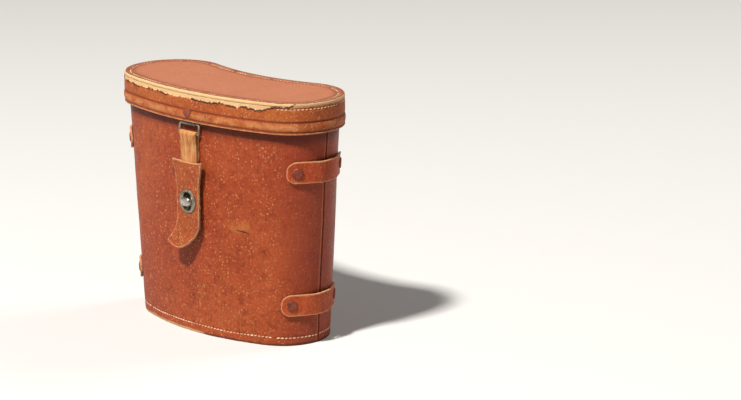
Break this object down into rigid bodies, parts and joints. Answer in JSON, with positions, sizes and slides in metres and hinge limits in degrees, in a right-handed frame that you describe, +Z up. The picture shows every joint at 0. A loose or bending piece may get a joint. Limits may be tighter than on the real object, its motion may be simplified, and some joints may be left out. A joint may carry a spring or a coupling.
{
  "type": "binocular case",
  "caption": "Kidney-plan leather case for field glasses with a ring-hinged lid, strap loops on the ends and a turn-button closing strap.",
  "frame": {"origin": "on the resting face under the middle of the case, midway between the front and back of the lid", "axes": "+X along the long axis, -Y the front with the closing strap, +Y the back with the hinge, +Z up"},
  "size_m": [0.222, 0.1054, 0.205],
  "materials": {
    "case_leather": "pebbled, worn semi-gloss",
    "lid_leather": "fine grain, worn satin",
    "band_leather": "worn satin with a pale worn rim",
    "loop_leather": "smooth, raw pale edges",
    "hinge_leather": "lighter tan, raw edges",
    "tab_leather": "smooth tan, raw edges",
    "worn_leather": "pale, cracked and ridged",
    "base_leather": "dull",
    "fibre_board": "brown fibre board",
    "collar_leather": "smooth",
    "lining": "napped",
    "painted_rivet": "red-brown, worn",
    "burr_brass": "dull",
    "ring_wire": "darkened",
    "nickel": "worn nickel",
    "chape_steel": "dark"
  },
  "bodies": {
    "case": {"body_leather": "case_leather", "body_shell": "fibre_board", "body_lining": "lining", "body_collar": "collar_leather", "base_leather": "base_leather", "base_board": "fibre_board", "base_lining": "lining", "loop_upper_left": "loop_leather", "loop_upper_right": "loop_leather", "loop_lower_left": "loop_leather", "loop_lower_right": "loop_leather", "loop_rivets": "painted_rivet", "loop_burrs": "burr_brass", "hinge_low_strap": "hinge_leather", "hinge_low_patch": "hinge_leather", "hinge_case_rivets": "painted_rivet", "hinge_case_burrs": "burr_brass", "turn_button_plate": "nickel", "turn_button_pins": "nickel", "turn_button_washer": "burr_brass"},
    "hinge_ring": {"hinge_ring": "ring_wire"},
    "lid": {"lid_top_leather": "lid_leather", "lid_top_board": "fibre_board", "lid_band_leather": "band_leather", "lid_band_shell": "fibre_board", "lid_lining": "lining", "hinge_high_strap": "hinge_leather", "hinge_lid_rivets": "painted_rivet", "hinge_lid_burrs": "burr_brass", "clasp_chape": "chape_steel", "clasp_rivet": "painted_rivet", "clasp_burr": "burr_brass"},
    "clasp_ring": {"clasp_ring": "ring_wire"},
    "closure_strap": {"strap_hanger": "worn_leather", "strap_tab": "tab_leather", "eyelet_plate": "nickel", "eyelet_washer": "burr_brass"},
    "turn_button": {"turn_button_knob": "nickel"}
  },
  "joints": [
    {"name": "hinge_ring_swing", "type": "hinge", "parent": "case", "child": "hinge_ring", "pos_m": [0, 0.0378, 0.166], "axis": [-1, 0, 0], "range_deg": [0, 45]},
    {"name": "lid_open", "type": "hinge", "parent": "hinge_ring", "child": "lid", "pos_m": [0, 0.0386, 0.175], "axis": [-1, 0, 0], "range_deg": [0, 80]},
    {"name": "clasp_ring_swing", "type": "hinge", "parent": "lid", "child": "clasp_ring", "pos_m": [0, -0.04445, 0.17775], "axis": [-1, 0, 0], "range_deg": [0, 60]},
    {"name": "strap_swing", "type": "hinge", "parent": "clasp_ring", "child": "closure_strap", "pos_m": [0, -0.0458, 0.1693], "axis": [-1, 0, 0], "range_deg": [0, 120]},
    {"name": "button_turn", "type": "hinge", "parent": "case", "child": "turn_button", "pos_m": [0, -0.045, 0.113], "axis": [0, -1, 0], "range_deg": [0, 90]}
  ]
}
